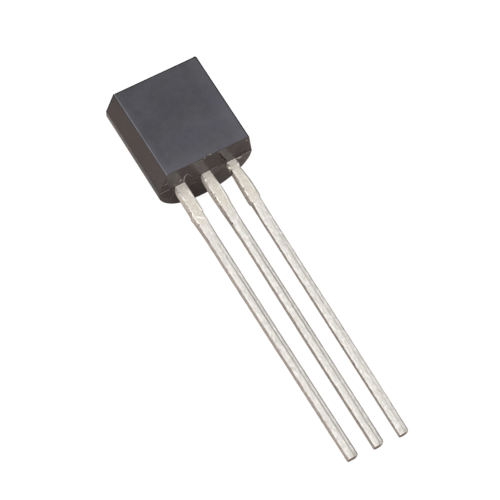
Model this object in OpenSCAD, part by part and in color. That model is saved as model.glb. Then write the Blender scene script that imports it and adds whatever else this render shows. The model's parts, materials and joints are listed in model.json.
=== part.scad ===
// Small transistor in a moulded three-lead case, lying at rest on its round back.
// The pieces are drawn upright: X runs across the leads, Y from the flat face to the back, Z up the case.
// The mould's parting plane is Y = 0, level with the front of the leads, and the leads leave the case at Z = 0.

/* [Case] */
// Width of the case at its parting line
case_w = 4.58; // [4.3:0.02:5.2]
// Height of the case at its parting line
case_h = 4.58; // [4:0.02:5.4]
// Width of the flat face
flat_w = 4.08; // [3.6:0.02:4.28]
// Depth from the flat face to the parting plane
front_d = 1.34; // [1.1:0.01:1.7]
// Depth from the parting plane to the round back
back_d = 2.12; // [1.7:0.01:2.3]
// Radius of the round back
back_r = 2.34; // [2.3:0.01:2.9]
// Draft of the sides behind the parting plane, in degrees
side_draft = 5.5; // [1:0.5:8]
// Draft of the top and of the face that the leads leave, in degrees
end_draft = 1.5; // [0.5:0.1:5]
// Bevel round the flat face
flat_bevel = 0.06; // [0.02:0.01:0.2]
// Width of the stub on the top, where the mould's gate broke off
gate_w = 0.9; // [0.4:0.05:1.6]
// Thickness of that stub
gate_t = 0.3; // [0.15:0.01:0.5]
// Height of that stub
gate_h = 0.04; // [0.02:0.01:0.12]

/* [Leads] */
// Distance from one lead to the next
lead_pitch = 1.27; // [1.15:0.01:1.4]
// Length of the leads below the case
lead_len = 14.4; // [6:0.1:20]
// Thickness of the sheet that the leads are stamped from
lead_t = 0.4; // [0.3:0.01:0.5]
// Width of a lead where it leaves the case
neck_w = 0.47; // [0.3:0.01:0.5]
// Length of the straight neck below the case
neck_len = 0.35; // [0.1:0.05:0.7]
// Width across the sheared stubs of the dam bar
dam_w = 0.57; // [0.5:0.01:0.7]
// Distance from the case to the upper edge of the dam bar
dam_top = 0.9; // [0.75:0.05:1.4]
// Distance from the case to the lower edge of the dam bar
dam_low = 2.0; // [1.5:0.05:2.6]
// Length over which the lead narrows below the dam bar
dam_taper = 0.12; // [0.05:0.01:0.4]
// Width of the tinned leg
leg_w = 0.46; // [0.3:0.01:0.48]
// Thickness of the tinned leg at its middle
leg_t = 0.44; // [0.36:0.01:0.56]
// Rise of the tin across each side of the leg
leg_crown = 0.02; // [0.01:0.005:0.08]
// Backward lean of the legs, in degrees
leg_lean = 1.9; // [0:0.1:4]
// Corner that the shear rounds off at the tip
tip_bevel = 0.07; // [0.02:0.01:0.15]

/* [Lead frame inside the case] */
// Height of the lower edge of the paddle and posts above the lead face
head_z = 1.3; // [0.8:0.05:1.8]
// Width of the die paddle
paddle_w = 1.3; // [1:0.02:1.5]
// Height of the die paddle
paddle_h = 1.7; // [1.2:0.05:2]
// Width of a bond post
post_w = 0.66; // [0.5:0.02:0.72]
// Height of a bond post
post_h = 0.95; // [0.6:0.05:1.6]

/* [Die and bond wires] */
// Side of the square die
die_w = 0.5; // [0.3:0.02:0.9]
// Thickness of the die
die_t = 0.2; // [0.1:0.01:0.3]
// Thickness of the layer that fixes the die to the paddle
attach_t = 0.03; // [0.02:0.005:0.06]
// Rim of that layer beyond the die
attach_rim = 0.05; // [0.02:0.01:0.12]
// Diameter of a bond wire
wire_d = 0.03; // [0.025:0.005:0.05]
// Diameter of the ball that a wire starts from
ball_d = 0.09; // [0.07:0.005:0.12]
// Height of that ball
ball_h = 0.03; // [0.02:0.005:0.05]
// Rise of a wire's loop above its ball
loop_h = 0.3; // [0.15:0.01:0.45]

/* [Hidden] */

// How far a cutting or trimming shape runs past what it trims
overrun = 0.5;
// Smoothness of the round back and of the tin
$fn = 96;
// Sides of a bond wire
wire_sides = 8;
// Steps along a bond wire
wire_steps = 12;
// Place of a wire's ball on the die, as a share of half the die's side
ball_place_share = 0.5;
// Place of a wire's end on its post, as a share of the post's height
wire_end_share = 0.55;
// Rise of a Bezier curve's inner points that lifts its middle by one
bezier_rise_share = 4 / 3;

// Loss of height over the front and back halves, each from both ends
front_drop = front_d * tan(end_draft);
back_drop = back_d * tan(end_draft);
// Half width that the drafted sides would reach at the back
back_half_w = case_w / 2 - back_d * tan(side_draft);

// Run of the leg below the dam bar, and where its tip lies from front to back
leg_run = lead_len - dam_low;
tip_mid_y = lead_t / 2 + leg_run * tan(leg_lean);
tip_half_t = leg_t / 2 / cos(leg_lean);

// The rest on a flat surface: on the lower back edge of the case and on the three tips
rest_tilt = atan((back_d - tip_mid_y - tip_half_t) / (lead_len + back_drop));
rest_lift = back_d * cos(rest_tilt) - back_drop * sin(rest_tilt);
back_reach = back_d * sin(rest_tilt) + (case_h - back_drop) * cos(rest_tilt);
gate_reach = gate_t * sin(rest_tilt) + (case_h + gate_h) * cos(rest_tilt);
top_reach = max(back_reach, gate_reach);
tip_reach = (tip_mid_y - tip_half_t) * sin(rest_tilt) - lead_len * cos(rest_tilt);

// Layers in front of the paddle, and the heights of the die and of a wire's end
die_front = -attach_t - die_t;
ball_front = die_front - ball_h;
die_z = head_z + paddle_h / 2;
wire_end_z = head_z + post_h * wire_end_share;

// Points and slopes along a curve with four Bezier points
function bezier(p, t) =
    pow(1 - t, 3) * p[0] + 3 * t * pow(1 - t, 2) * p[1] + 3 * t * t * (1 - t) * p[2] + pow(t, 3) * p[3];
function bezier_slope(p, t) =
    pow(1 - t, 2) * (p[1] - p[0]) + 2 * t * (1 - t) * (p[2] - p[1]) + t * t * (p[3] - p[2]);
function unit(v) = v / norm(v);

// Lays the upright part down, flat face up, with the middle of its outline over the origin
module lying() {
    translate([0, -(top_reach + tip_reach) / 2, rest_lift])
        rotate([rest_tilt - 90, 0, 0])
            children();
}

// Makes a solid of an outline drawn across X and up Z, from one depth to another
module from_front(near, far) {
    translate([0, far, 0])
        rotate([90, 0, 0])
            linear_extrude(far - near)
                children();
}

// Outline of the case seen from above, X across and Y to the back
module case_plan() {
    polygon([
        [-flat_w / 2, flat_bevel - front_d],
        [flat_bevel - flat_w / 2, -front_d],
        [flat_w / 2 - flat_bevel, -front_d],
        [flat_w / 2, flat_bevel - front_d],
        [case_w / 2, 0],
        [-case_w / 2, 0]
    ]);
    intersection() {
        polygon([[-case_w / 2, 0], [case_w / 2, 0], [back_half_w, back_d], [-back_half_w, back_d]]);
        translate([0, back_d - back_r])
            circle(back_r);
    }
}

// Outline of the case seen from its side, Y to the back and Z up
module case_side() {
    polygon([
        [0, 0],
        [back_d, back_drop],
        [back_d, case_h - back_drop],
        [0, case_h],
        [flat_bevel - front_d, case_h - front_drop],
        [-front_d, case_h - front_drop - flat_bevel],
        [-front_d, front_drop + flat_bevel],
        [flat_bevel - front_d, front_drop]
    ]);
}

// The moulding: both outlines met, with the gate's stub on top just behind the parting plane
module case_solid() {
    intersection() {
        linear_extrude(case_h)
            case_plan();
        translate([-case_w / 2, 0, 0])
            rotate([90, 0, 90])
                linear_extrude(case_w)
                    case_side();
    }
    from_front(0, gate_t)
        translate([-gate_w / 2, case_h - gate_t])
            square([gate_w, gate_t + gate_h]);
}

// Section of a leg: four shallow arcs of tin over a rectangular strip
module tinned_section() {
    intersection_for (side = [[leg_w, leg_t, 0], [leg_t, leg_w, 90]]) {
        chord = side[0] / 2;
        bow_r = (chord * chord + leg_crown * leg_crown) / (2 * leg_crown);
        rotate(side[2])
            intersection_for (way = [-1, 1])
                translate([0, way * (side[1] / 2 - bow_r)])
                    circle(bow_r);
    }
}

// Leg below the dam bar, leaning back, with a level cut at its top and its tip
module leg() {
    intersection() {
        translate([0, lead_t / 2, -dam_low])
            rotate([leg_lean, 0, 0])
                translate([0, 0, -leg_run - overrun])
                    linear_extrude(leg_run + 2 * overrun)
                        tinned_section();
        from_front(-overrun, tip_mid_y + tip_half_t + overrun)
            polygon([
                [-leg_w / 2, -dam_low],
                [-leg_w / 2, -lead_len],
                [leg_w / 2 - tip_bevel, -lead_len],
                [leg_w / 2, tip_bevel - lead_len],
                [leg_w / 2, -dam_low]
            ]);
    }
}

// One lead: a head inside the case, a strip with the stubs of the dam bar, and a leg
module lead(x, head_w, head_h) {
    translate([x, 0, 0]) {
        from_front(0, lead_t) {
            translate([-head_w / 2, head_z])
                square([head_w, head_h]);
            polygon([
                [-neck_w / 2, head_z],
                [-neck_w / 2, -neck_len],
                [-dam_w / 2, -dam_top],
                [-dam_w / 2, dam_taper - dam_low],
                [-leg_w / 2, -dam_low],
                [leg_w / 2, -dam_low],
                [dam_w / 2, dam_taper - dam_low],
                [dam_w / 2, -dam_top],
                [neck_w / 2, -neck_len],
                [neck_w / 2, head_z]
            ]);
        }
        leg();
    }
}

module outer_lead(side) {
    lead(side * lead_pitch, post_w, post_h);
}

module middle_lead() {
    lead(0, paddle_w, paddle_h);
}

// A flat square layer in front of the paddle
module layer(side_w, near, far) {
    from_front(near, far)
        translate([0, die_z])
            square(side_w, center = true);
}

module attach_layer() {
    layer(die_w + 2 * attach_rim, -attach_t, 0);
}

module die() {
    layer(die_w, die_front, -attach_t);
}

// A wire that rises from its ball on the die and comes down square on a post
module wire(side) {
    ball_x = side * die_w / 2 * ball_place_share;
    rise = [0, -loop_h * bezier_rise_share, 0];
    start = [ball_x, ball_front, die_z];
    end = [side * lead_pitch, 0, wire_end_z];
    route = [start, start + rise, [end.x, start.y, end.z] + rise, end];
    flat_way = unit([end.x - start.x, 0, end.z - start.z]);
    across = cross(flat_way, [0, 1, 0]);
    rings = [for (i = [0 : wire_steps])
        let (middle = bezier(route, i / wire_steps))
        let (outward = cross(unit(bezier_slope(route, i / wire_steps)), across))
        for (k = [0 : wire_sides - 1])
            let (turn = 360 * k / wire_sides)
            middle + wire_d / 2 * (cos(turn) * outward + sin(turn) * across)
    ];
    last = wire_steps * wire_sides;
    polyhedron(rings, [
        [for (k = [0 : wire_sides - 1]) k],
        for (i = [0 : wire_steps - 1], k = [0 : wire_sides - 1])
            let (a = i * wire_sides + k)
            let (b = i * wire_sides + (k + 1) % wire_sides)
            each [[a, a + wire_sides, b], [b, a + wire_sides, b + wire_sides]],
        [for (k = [1 : wire_sides]) last + wire_sides - k]
    ]);
    translate([ball_x, die_front, die_z])
        rotate([90, 0, 0])
            cylinder(d = ball_d, h = ball_h);
}

// The case is moulded round everything inside it
module moulded_case() {
    color([0.28, 0.27, 0.28])
        lying()
            difference() {
                case_solid();
                middle_lead();
                attach_layer();
                die();
                for (side = [-1, 1]) {
                    outer_lead(side);
                    wire(side);
                }
            }
}

module emitter_lead() {
    color([0.84, 0.82, 0.78])
        lying()
            outer_lead(-1);
}

module collector_lead() {
    color([0.84, 0.82, 0.78])
        lying()
            middle_lead();
}

module base_lead() {
    color([0.84, 0.82, 0.78])
        lying()
            outer_lead(1);
}

module transistor_die() {
    color([0.35, 0.37, 0.42])
        lying()
            die();
}

module die_attach() {
    color([0.7, 0.7, 0.68])
        lying()
            attach_layer();
}

module emitter_bond_wire() {
    color([0.9, 0.72, 0.25])
        lying()
            wire(-1);
}

module base_bond_wire() {
    color([0.9, 0.72, 0.25])
        lying()
            wire(1);
}

moulded_case();
emitter_lead();
collector_lead();
base_lead();
transistor_die();
die_attach();
emitter_bond_wire();
base_bond_wire();
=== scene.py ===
"""A small three-lead transistor lying on its round back: a moulded case on tinned leads."""
import json
from math import asin, atan2, cos, hypot, pi, radians, sin, sqrt, tan

import bpy
from mathutils import Matrix, Vector, noise


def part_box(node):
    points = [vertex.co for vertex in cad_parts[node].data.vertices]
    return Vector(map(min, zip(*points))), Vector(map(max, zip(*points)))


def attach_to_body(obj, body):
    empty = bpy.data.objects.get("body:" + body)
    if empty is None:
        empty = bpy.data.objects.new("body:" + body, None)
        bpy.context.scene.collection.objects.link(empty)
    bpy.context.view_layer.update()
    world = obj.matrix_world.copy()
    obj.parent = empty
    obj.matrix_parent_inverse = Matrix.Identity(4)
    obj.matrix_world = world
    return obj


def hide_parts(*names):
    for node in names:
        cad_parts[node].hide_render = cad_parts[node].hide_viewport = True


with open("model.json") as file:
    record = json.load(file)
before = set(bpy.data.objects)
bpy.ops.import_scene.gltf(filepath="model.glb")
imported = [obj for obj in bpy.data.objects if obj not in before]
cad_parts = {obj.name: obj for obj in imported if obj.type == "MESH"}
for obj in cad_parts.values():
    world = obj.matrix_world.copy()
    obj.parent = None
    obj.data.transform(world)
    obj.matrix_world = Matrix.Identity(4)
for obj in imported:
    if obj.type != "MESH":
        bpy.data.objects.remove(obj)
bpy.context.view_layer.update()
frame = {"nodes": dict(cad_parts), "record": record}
mounts = {mount["name"]: mount for mount in frame["record"]["mounts"]}
FRONT = Vector(mounts["flat_face"]["axis"])
UP = -Vector(mounts["collector_lead_exit"]["axis"])

MM = 0.001
LEADS = ("emitter_lead", "collector_lead", "base_lead")


def by_lead(*values):
    """A value for each lead, by its name."""
    return dict(zip(LEADS, values))


# The case, drawn upright in millimetres: X across the leads, Y from the flat face to the back, Z up.
# The parting plane is Y = 0, level with the front of the leads, and the leads leave the case at Z = 0.
CASE_LOW, CASE_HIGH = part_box("moulded_case")
CASE_HALF = (CASE_HIGH.x - CASE_LOW.x) / 2 / MM
CASE_H = 4.58
FLAT_HALF = 2.04
FRONT_D = 1.34
BACK_D = 2.12
BACK_R = 2.34
SIDE_DRAFT = radians(5.5)
END_DRAFT = radians(1.5)
CORNER_R = 0.07
END_R = 0.03
TOP_R = 0.07
# Steps round its back and edges and up its walls, and how far in its first columns are
BACK_STEPS = 36
EDGE_STEPS = 6
WALL_STEPS = 48
COLUMN_INSETS = (0, 0.0022, 0.006, 0.014)
# Share of the ends' rounding that the sides and the back have
SIDE_ROUND = 0.1
# The same for the top's right and the back's low left, and where they begin and are full
TOP_RIGHT_ROUND = 1.2
TOP_RIGHT_X = (1.6, 2.0)
LOW_LEFT_ROUND = 0.8
LOW_LEFT_X = (-1.5, -2.0)
LOW_LEFT_Y = (0, 0.4)
# How far the back swells and its left leans out, and where that begins, by X and the normal's Y
BACK_SWELL = 0.022
BACK_SWELL_X = (0.6, 1.4)
BACK_LEAN = 0.05
BACK_LEAN_NY = (0.8, 0.35)
# The most that the normal's Y is on the flat face
FLAT_NY = -0.9
# Height of the dark rim of painted shade under the top's edge
RIM_H = 0.053
SHADING_WEIGHT = 80

# Finishes of the case, by their places in its list of materials; the fourth is a painted highlight on the
# left edge and the fifth painted shade on the top and right edges
FACE, SIDE, FLASH, LIT_EDGE, SHADED_RIM = range(5)
# How far the left edge, painted as a highlight, and the other edges, painted as shade, at least turn forward
# and aside
LEFT_EDGE_TURN = (0.55, 0.2)
RIM_TURN = (0.3, 0.08)
# How far the flat face at least turns forward, and the rim at most upward
FACE_TURN = 0.97
RIM_RISE = 0.9

# The broken gate on the top
GATE_HALF = 0.45
GATE_T = 0.3
GATE_H = 0.04
GATE_ROOT = 0.1
GATE_CORNER_R = 0.02
GATE_SIDE_STEPS = 10
GATE_RAGGED = 0.012
# Its rings above the top: shares of its height, and how far in each is
GATE_RINGS = ((0.6, 0.01), (1, 0.05), (0.7, 0.12))

# Resin flash along the parting line, in millimetres
FLASH_HALF = 0.022
FLASH_H = 0.01
FLASH_NOISE = 0.014
# What it gains on the left, at the leads and at the top
LEFT_FLASH = (0.034, -0.02)
# Share of its noise on both ends, and of its height on the lead face
END_NOISE_SHARE = 0.5
LEAD_FACE_SHARE = 0.4
# What it gains at that face's corners and in a tab there, and where along X
CORNER_FLASH = 0.022
CORNER_FLASH_X = (1.55, 1.75, 2.2, 2.3)
TAB_FLASH = 0.075
TAB_FLASH_X = (1.44, 1.5, 1.66, 1.8)
# Stretches of X in which it is pale on the lead face
PALE_FLASH_X = ((-3, -1.85), (0.3, 0.55), (1.42, 3))
# How far off a plane a point counts as on it
TOUCH = 0.001

# The leads, in millimetres below the lead face
LEAD_LEN = 14.4
LEAD_T = 0.4
DAM_LOW = 2.0
LEG_LEAN = radians(1.9)
# How far the faces of the strip and of the leg are crowned
CROWNS = (0.006, 0.016)
# How high in the case the heads begin, their bevel, and their widths and heights
HEAD_Z = 1.3
HEAD_BEVEL = 0.03
HEADS = by_lead((0.66, 0.95), (1.3, 1.7), (0.66, 0.95))
# Rings of a lead above the lead face, down its blade and leg and round its tip
NECK_DEPTHS = (-0.5, -0.1)
BLADE_END = 3.4
BLADE_RINGS = 110
LEG_RINGS = 260
TIP_RINGS = 24
# Depths between which the strip turns into the tinned leg, in form and in colour
TINNED = (1.9, 3.0)
SOLDERED = by_lead((1.6, 2.6), (1.4, 2.6), (1.6, 2.6))
# Rounding of the tips at the right, left and front, and how long the tips are
TIP_RIGHT_RS = by_lead(0.13, 0.19, 0.13)
TIP_RUN = 0.19
TIP_LEFT_R = 0.025
TIP_FRONT_R = 0.05
# How much shorter each lead was cut than drawn
TIP_TRIM = by_lead(0.025, -0.01, -0.035)
# Rise of the slanted tip's back edge by thickness, and the slant's length
TIP_SLANT = 0.15
TIP_SLANT_RUN = 0.5
# Distances from the tip between which the bared cut begins
CUT_RUN = (0.03, 0.005)
# How much wider the strip's back is than its front on each side, and how deep that is full
SHEAR_FLARE = 0.033
SHEAR_FLARE_RUN = 0.16
# How uneven the strip and the leg are, and the cells to the millimetre across and down them
UNEVEN = (0.0015, 0.004)
UNEVEN_CELLS = 9
UNEVEN_LONG_CELLS = (9, 5.5)
# How ragged the corners and the front left one are, and down to where a lead is even
RAGGED = 0.005
RAGGED_LEFT = 0.02
EVEN_ROOT = 0.05
# The solder's ridge on a leg's front: its place and width in half widths, its step and the highest one
RIDGE_AT = 0.09
RIDGE_WANDER = 0.1
RIDGE_W = 0.28
RIDGE_STEPS = by_lead(0.026, 0.024, 0.008)
RIDGE_FULL = max(RIDGE_STEPS.values())
# Depths between which the ridge rises, and sinks to a share of its step
RIDGE_RISE = (2.5, 5.5)
RIDGE_SINK = (7, 9.5)
RIDGE_LOW_SHARE = 0.55
# Shares of noise in the step, and of the groove in the ridge's width
RIDGE_NOISE_SHARE = 0.5
GROOVE_SHARE = 0.8
# Rounding of the strip's corners and of each leg's, front and back, and its most in half widths
STRIP_CORNER_R = 0.042
CORNER_SHARE = 0.9
LEG_CORNERS = by_lead((0.08, 0.05), (0.075, 0.11), (0.035, 0.165))
# Ring points of a lead: steps along each side and in each corner
SIDE_STEPS = 18
ARC_STEPS = 4
# Points in a corner, from one to the next, before two of the corners, and in the ring
ARC = ARC_STEPS + 1
STRIDE = ARC + SIDE_STEPS - 1
BACK_LEFT = 2 * STRIDE
FRONT_LEFT = 3 * STRIDE
RING = 4 * STRIDE
# How bright a lead's front is from its left edge in, and from its right at the root and below, partly as
# painted highlight
LEFT_RIM = (0.7, 0.1)
ROOT_RIM = (0.5, 0.3, 0)
RIGHT_RIM = (0, 0.8, 0.5)
# How bright the sheet's left corner is, from the side round to the front, partly as painted highlight
CORNER_RIM = (0, 0.2, 0.6, 1, 1)
# How shaded the right corner is from the front round, at least how much, and where that begins
RIGHT_SHADE = (0.2, 0.6, 1, 1, 1)
EDGE_SHADES = by_lead(0.2, 0.7, 0.8)
SHADE_FROM = by_lead(0.75, 0.7, 0.25)
SHADE_RUN = 0.3
# How much painted shade the right of the front gets at the tip, and how far off that begins and is full
TIP_PAINTED_SHADE = 0.7
TIP_PAINTED_SHADE_RUN = (0.4, 0.05)
# Distances from the tip between which the painted shade of the left begins
TIP_CLEAR = (0.6, 2.2)
# How much painted shade the front and back of each lead's left get, and how that fades to the right
LEFT_PAINTED_SHADES = by_lead((1.0, 1.0), (0.2, 0.5), (0.0, 0.2))
FRONT_FADE = (1, 1, 1, 1, 1, 0.9, 0.7, 0.5, 0.25)
BACK_FADE = (1, 1, 1, 1, 1, 0.9, 0.7, 0.4)
# That painted shade on the sheet and under the solder
FRONT_PAINTED_SHADE = (0.03, 0.8)
BACK_PAINTED_SHADE = (0.7, 1.1)
# Depths between which the left side of a lead gets a painted shadow, below a lump of sheet
LUMP_SHADOW_DEPTHS = {"base_lead": (0.36, 0.42, 0.48, 0.58)}

# How much painted light the sheared sides get beside the case, to which depth in full, and where that ends
PALE_SHARES = by_lead(0.85, 0.75, 0.0)
PALE_FULL = 0.2
PALE_ENDS = by_lead(1.4, 2.6, 1.4)

# (depth, half width) of each lead to its left and right, down from the lead face
LEFT_EDGES = by_lead(
    [(0, 0.252), (0.35, 0.284), (1.5, 0.302), (1.57, 0.346), (1.8, 0.322), (2.3, 0.308), (3.2, 0.318),
     (6, 0.303), (14.4, 0.256)],
    [(0, 0.226), (0.3, 0.247), (0.9, 0.273), (1.6, 0.258), (2.3, 0.258), (3.0, 0.277), (3.5, 0.263),
     (9, 0.286), (14.4, 0.276)],
    [(0, 0.235), (0.06, 0.235), (0.11, 0.208), (0.9, 0.25), (1.3, 0.268), (1.9, 0.299), (2.12, 0.304),
     (2.18, 0.256), (2.6, 0.292), (3.0, 0.32), (3.5, 0.314), (14.4, 0.327)],
)
RIGHT_EDGES = by_lead(
    [(0, 0.246), (0.84, 0.24), (0.88, 0.25), (1.52, 0.246), (1.6, 0.196), (2.3, 0.186), (3.2, 0.197),
     (8, 0.218), (14.4, 0.256)],
    [(0, 0.22), (0.5, 0.228), (0.9, 0.264), (1.35, 0.265), (1.8, 0.218), (2.3, 0.207), (3.4, 0.222),
     (14.4, 0.241)],
    [(0, 0.215), (0.32, 0.208), (0.5, 0.188), (0.9, 0.229), (1.15, 0.252), (1.6, 0.25), (2.0, 0.232),
     (2.12, 0.191), (2.5, 0.186), (3.4, 0.177), (8.5, 0.178), (14.4, 0.153)],
)


def upright_to_row():
    """Matrix from the upright drawing in millimetres to the row frame in metres."""
    turn = Matrix((Vector((1, 0, 0)), -FRONT, UP)).transposed()
    lead_exit = Vector(mounts["collector_lead_exit"]["pos_m"])
    origin = lead_exit - turn @ Vector((0, LEAD_T / 2 * MM, 0))
    return Matrix.Translation(origin) @ (turn * MM).to_4x4()


TO_ROW = upright_to_row()


def steps(first, last, count):
    """Evenly spaced numbers from first to last, both included."""
    return [first + (last - first) * k / count for k in range(count + 1)]


def ease(low, high, value):
    """A smooth rise from 0 at low to 1 at high."""
    t = min(max((value - low) / (high - low), 0), 1)
    return t * t * (3 - 2 * t)


def stretch(places, value):
    """A smooth rise from start to full, and a fall from fade to end."""
    start, full, fade, end = places
    return ease(start, full, value) - ease(fade, end, value)


def mix(a, b, t):
    """The number a share t of the way from a to b."""
    return a + (b - a) * t


def along(points, place):
    """The height at a place on a line of (place, height) points."""
    for (x0, y0), (x1, y1) in zip(points, points[1:]):
        if place <= x1:
            return mix(y0, y1, max(place - x0, 0) / (x1 - x0))
    return points[-1][1]


def ripple(x, y, z):
    """Smooth noise from -1 to 1 at a point."""
    return noise.noise(Vector((x, y, z)))


def add_object(name, data):
    """A mesh, light or camera put in the scene."""
    made = bpy.data.objects.new(name, data)
    bpy.context.scene.collection.objects.link(made)
    return made


def add_piece(name, points, faces, materials):
    """A smooth-shaded piece of the object from points drawn upright."""
    mesh = bpy.data.meshes.new(name)
    mesh.from_pydata([TO_ROW @ Vector(p) for p in points], [], faces)
    for material in materials:
        mesh.materials.append(material)
    mesh.polygons.foreach_set("use_smooth", [True] * len(mesh.polygons))
    piece = add_object(name, mesh)
    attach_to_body(piece, "root")
    return piece


def tube_faces(count, rings):
    """Faces of an open tube through rings of count points."""
    faces = []
    for start in range(0, count * (rings - 1), count):
        for k in range(count):
            a = start + k
            b = start + (k + 1) % count
            faces.append((a, b, b + count, a + count))
    return faces


def loft(rings):
    """Points and faces of a closed tube through rings that turn left as they rise."""
    count = len(rings[0])
    points = [p for ring in rings for p in ring]
    faces = tube_faces(count, len(rings))
    for start, way in ((0, -1), (count * (len(rings) - 1), 1)):
        ring = points[start:start + count]
        points.append(tuple(sum(axis) / count for axis in zip(*ring)))
        for k in range(count):
            rim = (start + k, start + (k + 1) % count)
            faces.append((*rim[::way], len(points) - 1))
    return points, faces


# Materials

# Tin on the sheet, tin on the legs, sheared edges that are partly painted highlight, and the copper bared at
# the tips
SHEET_DARK = (0.655, 0.605, 0.535)
SHEET_LIGHT = (0.845, 0.8, 0.725)
SOLDER_DARK = (0.58, 0.56, 0.53)
SOLDER_LIGHT = (0.745, 0.73, 0.705)
EDGE_BRIGHT = (1.0, 0.97, 0.93)
CUT_BARE = (0.31, 0.24, 0.2)
# Painted shade in the groove, shear streaks, painted light on the sides, pits, painted shade, painted shadow
# below the lump
GROOVE_PAINTED_SHADE = (0.4, 0.385, 0.36)
SHEAR_DARK = (0.6, 0.53, 0.46)
SIDE_PAINTED_LIGHT = (1.0, 0.93, 0.85)
PIT_DARK = (0.24, 0.21, 0.18)
SHADE_DARK = (0.3, 0.28, 0.25)
LUMP_PAINTED_SHADOW = (0.17, 0.145, 0.125)
# How metallic the sheet and its sides with painted light are, and how rough sheet, solder and edges
SHEET_METAL = 0.55
PALE_METAL = 0.05
SHEET_ROUGH = (0.5, 0.62)
SOLDER_ROUGH = (0.24, 0.36)
EDGE_ROUGH = 0.24
# Depth of the tin's grain in mm, and the shares of its streaks and of its grit
TIN_GRAIN_MM = 0.012
TIN_GRAIN_SHARES = (0.6, 0.4)
# How bright the edges are, partly as painted highlight, on the sheet and the solder, and their pits on solder
# and shade on the sheet
EDGE_GAINS = (0.95, 0.3)
SOLDER_PITS = 0.35
SHEET_SHADE = 0.9

# Noise: cells to the millimetre across and down the leads, detail and roughness
STREAKS = (16, 1.3, 3, 0.6)
GRIT = (26, 26, 3, 0.6)
COARSE_SPECKS = (7, 7, 4, 0.6)
FINE_SPECKS = (12, 12, 2, 0.55)
CLOUDS = (0.7, 0.7, 2, 0.55)
BLOTCHES = (2.6, 2.6, 2, 0.55)
FILLER = (16, 16, 4, 0.7)
# The same, with the range of it that is used and what that is stretched to; the first streaks the painted
# light on the sheared sides
PALE_STREAKS = (14, 1.2, 3, 0.6, 0.38, 0.6, 0.2, 1)
SHEAR_STREAKS = (4, 13, 3, 0.6, 0.42, 0.62, 0, 1)
FROST = (11, 5, 3, 0.65, 0.48, 0.72, 0, 0.65)
CHIPS = (7, 2.6, 4, 0.75, 0.41, 0.53, 0, 1)
PITS = (5.3, 5.3, 3, 0.7, 0.56, 0.64, 0, 0.85)
SHADE_PATCHES = (0.3, 0.9, 2, 0.55, 0.45, 0.62, 0.05, 0.32)
TINTS = (1.1, 1.1, 1, 0.55, 0.42, 0.62, 0, 1)
# Shares of the sheet's specks and of the resin's clouds, blotches and filler, and ranges of noise
SPECK_SHARES = (0.4, 0.6)
SPECK_RANGE = (0.35, 0.65)
TONE_SHARES = (0.35, 0.25, 0.4)
TONE_RANGE = (0.38, 0.62)
NOISE_RANGE = (0.3, 0.7)
# How far the roughness of a plain metal comes and goes
ROUGH_SHARES = (0.8, 1.2)
# What the resin's colour is multiplied by where it is bluest
RESIN_TINT = (0.96, 0.965, 1.05)
# Paling of the case towards its edges: axis, where it begins and is full in mm, and share
PALER_EDGES = (("Y", 7.4, 5.0, 1.0), ("Y", 5.25, 4.95, 0.6), ("X", -1.72, -2.04, 1.0), ("X", 1.2, 2.04, 1.3))
# Along the row's Y, where each begins and ends and its shares there: painted light on the tin near the case
# and a pale lip by it, painted shade towards the tips, and the edges' loss of shine towards the case
ROOT_PAINTED_LIGHT = (3.6 * MM, 4.2 * MM, 0, 0.6)
LIP = (4.72 * MM, 4.78 * MM, 0, 0.8)
TIP_SHADE = (-7.9 * MM, -9.0 * MM, 0, 0.5)
SHINE_LOSS = (3.9 * MM, 4.3 * MM, 1, 0.1)


def new_material(name):
    """A material, its node tree and its shader."""
    material = bpy.data.materials.new(name)
    material.use_nodes = True
    tree = material.node_tree
    return material, tree, tree.nodes["Principled BSDF"]


def feed(tree, made, inputs):
    """Sets a node's inputs to values or links them to other nodes."""
    for key, value in inputs:
        if isinstance(value, bpy.types.NodeSocket):
            tree.links.new(value, made.inputs[key])
        else:
            made.inputs[key].default_value = value


def node(tree, kind, inputs=(), **settings):
    """A shader node with its settings and inputs made."""
    made = tree.nodes.new("ShaderNode" + kind)
    for key, value in settings.items():
        setattr(made, key, value)
    feed(tree, made, inputs)
    return made


def grain(tree, across, down, detail, rough):
    """Noise with so many cells to the millimetre across and down the leads."""
    place = node(tree, "TexCoord")
    sized = node(tree, "Mapping",
                 [("Vector", place.outputs["Object"]), ("Scale", [c / MM for c in (across, down, across)])])
    made = node(tree, "TexNoise",
                [("Vector", sized.outputs[0]), ("Scale", 1.0), ("Detail", detail), ("Roughness", rough)])
    return made.outputs["Fac"]


def spread(tree, value, low, high, out_low, out_high):
    """A value's range stretched to another and held inside it."""
    ends = [("From Min", low), ("From Max", high), ("To Min", out_low), ("To Max", out_high)]
    return node(tree, "MapRange", [("Value", value), *ends]).outputs[0]


def mottle(tree, across, down, detail, rough, *ranges):
    """Noise whose used range is stretched to another."""
    return spread(tree, grain(tree, across, down, detail, rough), *ranges)


def blend_colour(tree, fac, first, second, way="MIX"):
    """A colour with a share fac of a second one blended in, which may be over 1."""
    made = node(tree, "Mix", [("Factor", fac)], data_type="RGBA", blend_type=way, clamp_factor=False)
    for key, value in (("A", first), ("B", second)):
        socket = next(s for s in made.inputs if s.name == key and s.type == "RGBA")
        if isinstance(value, bpy.types.NodeSocket):
            tree.links.new(value, socket)
        else:
            socket.default_value = (*value, 1)
    return next(s for s in made.outputs if s.type == "RGBA")


def maths(tree, operation, first, second):
    """The result of an operation on two values."""
    return node(tree, "Math", [(0, first), (1, second)], operation=operation).outputs[0]


def float_mix(tree, fac, first, second):
    """A value a share fac of the way from the first to the second."""
    return node(tree, "Mix", [("Factor", fac), ("A", first), ("B", second)], data_type="FLOAT").outputs[0]


def attribute(tree, name):
    """A share that the piece's points hold, or 0."""
    return node(tree, "Attribute", attribute_name=name).outputs["Fac"]


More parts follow.
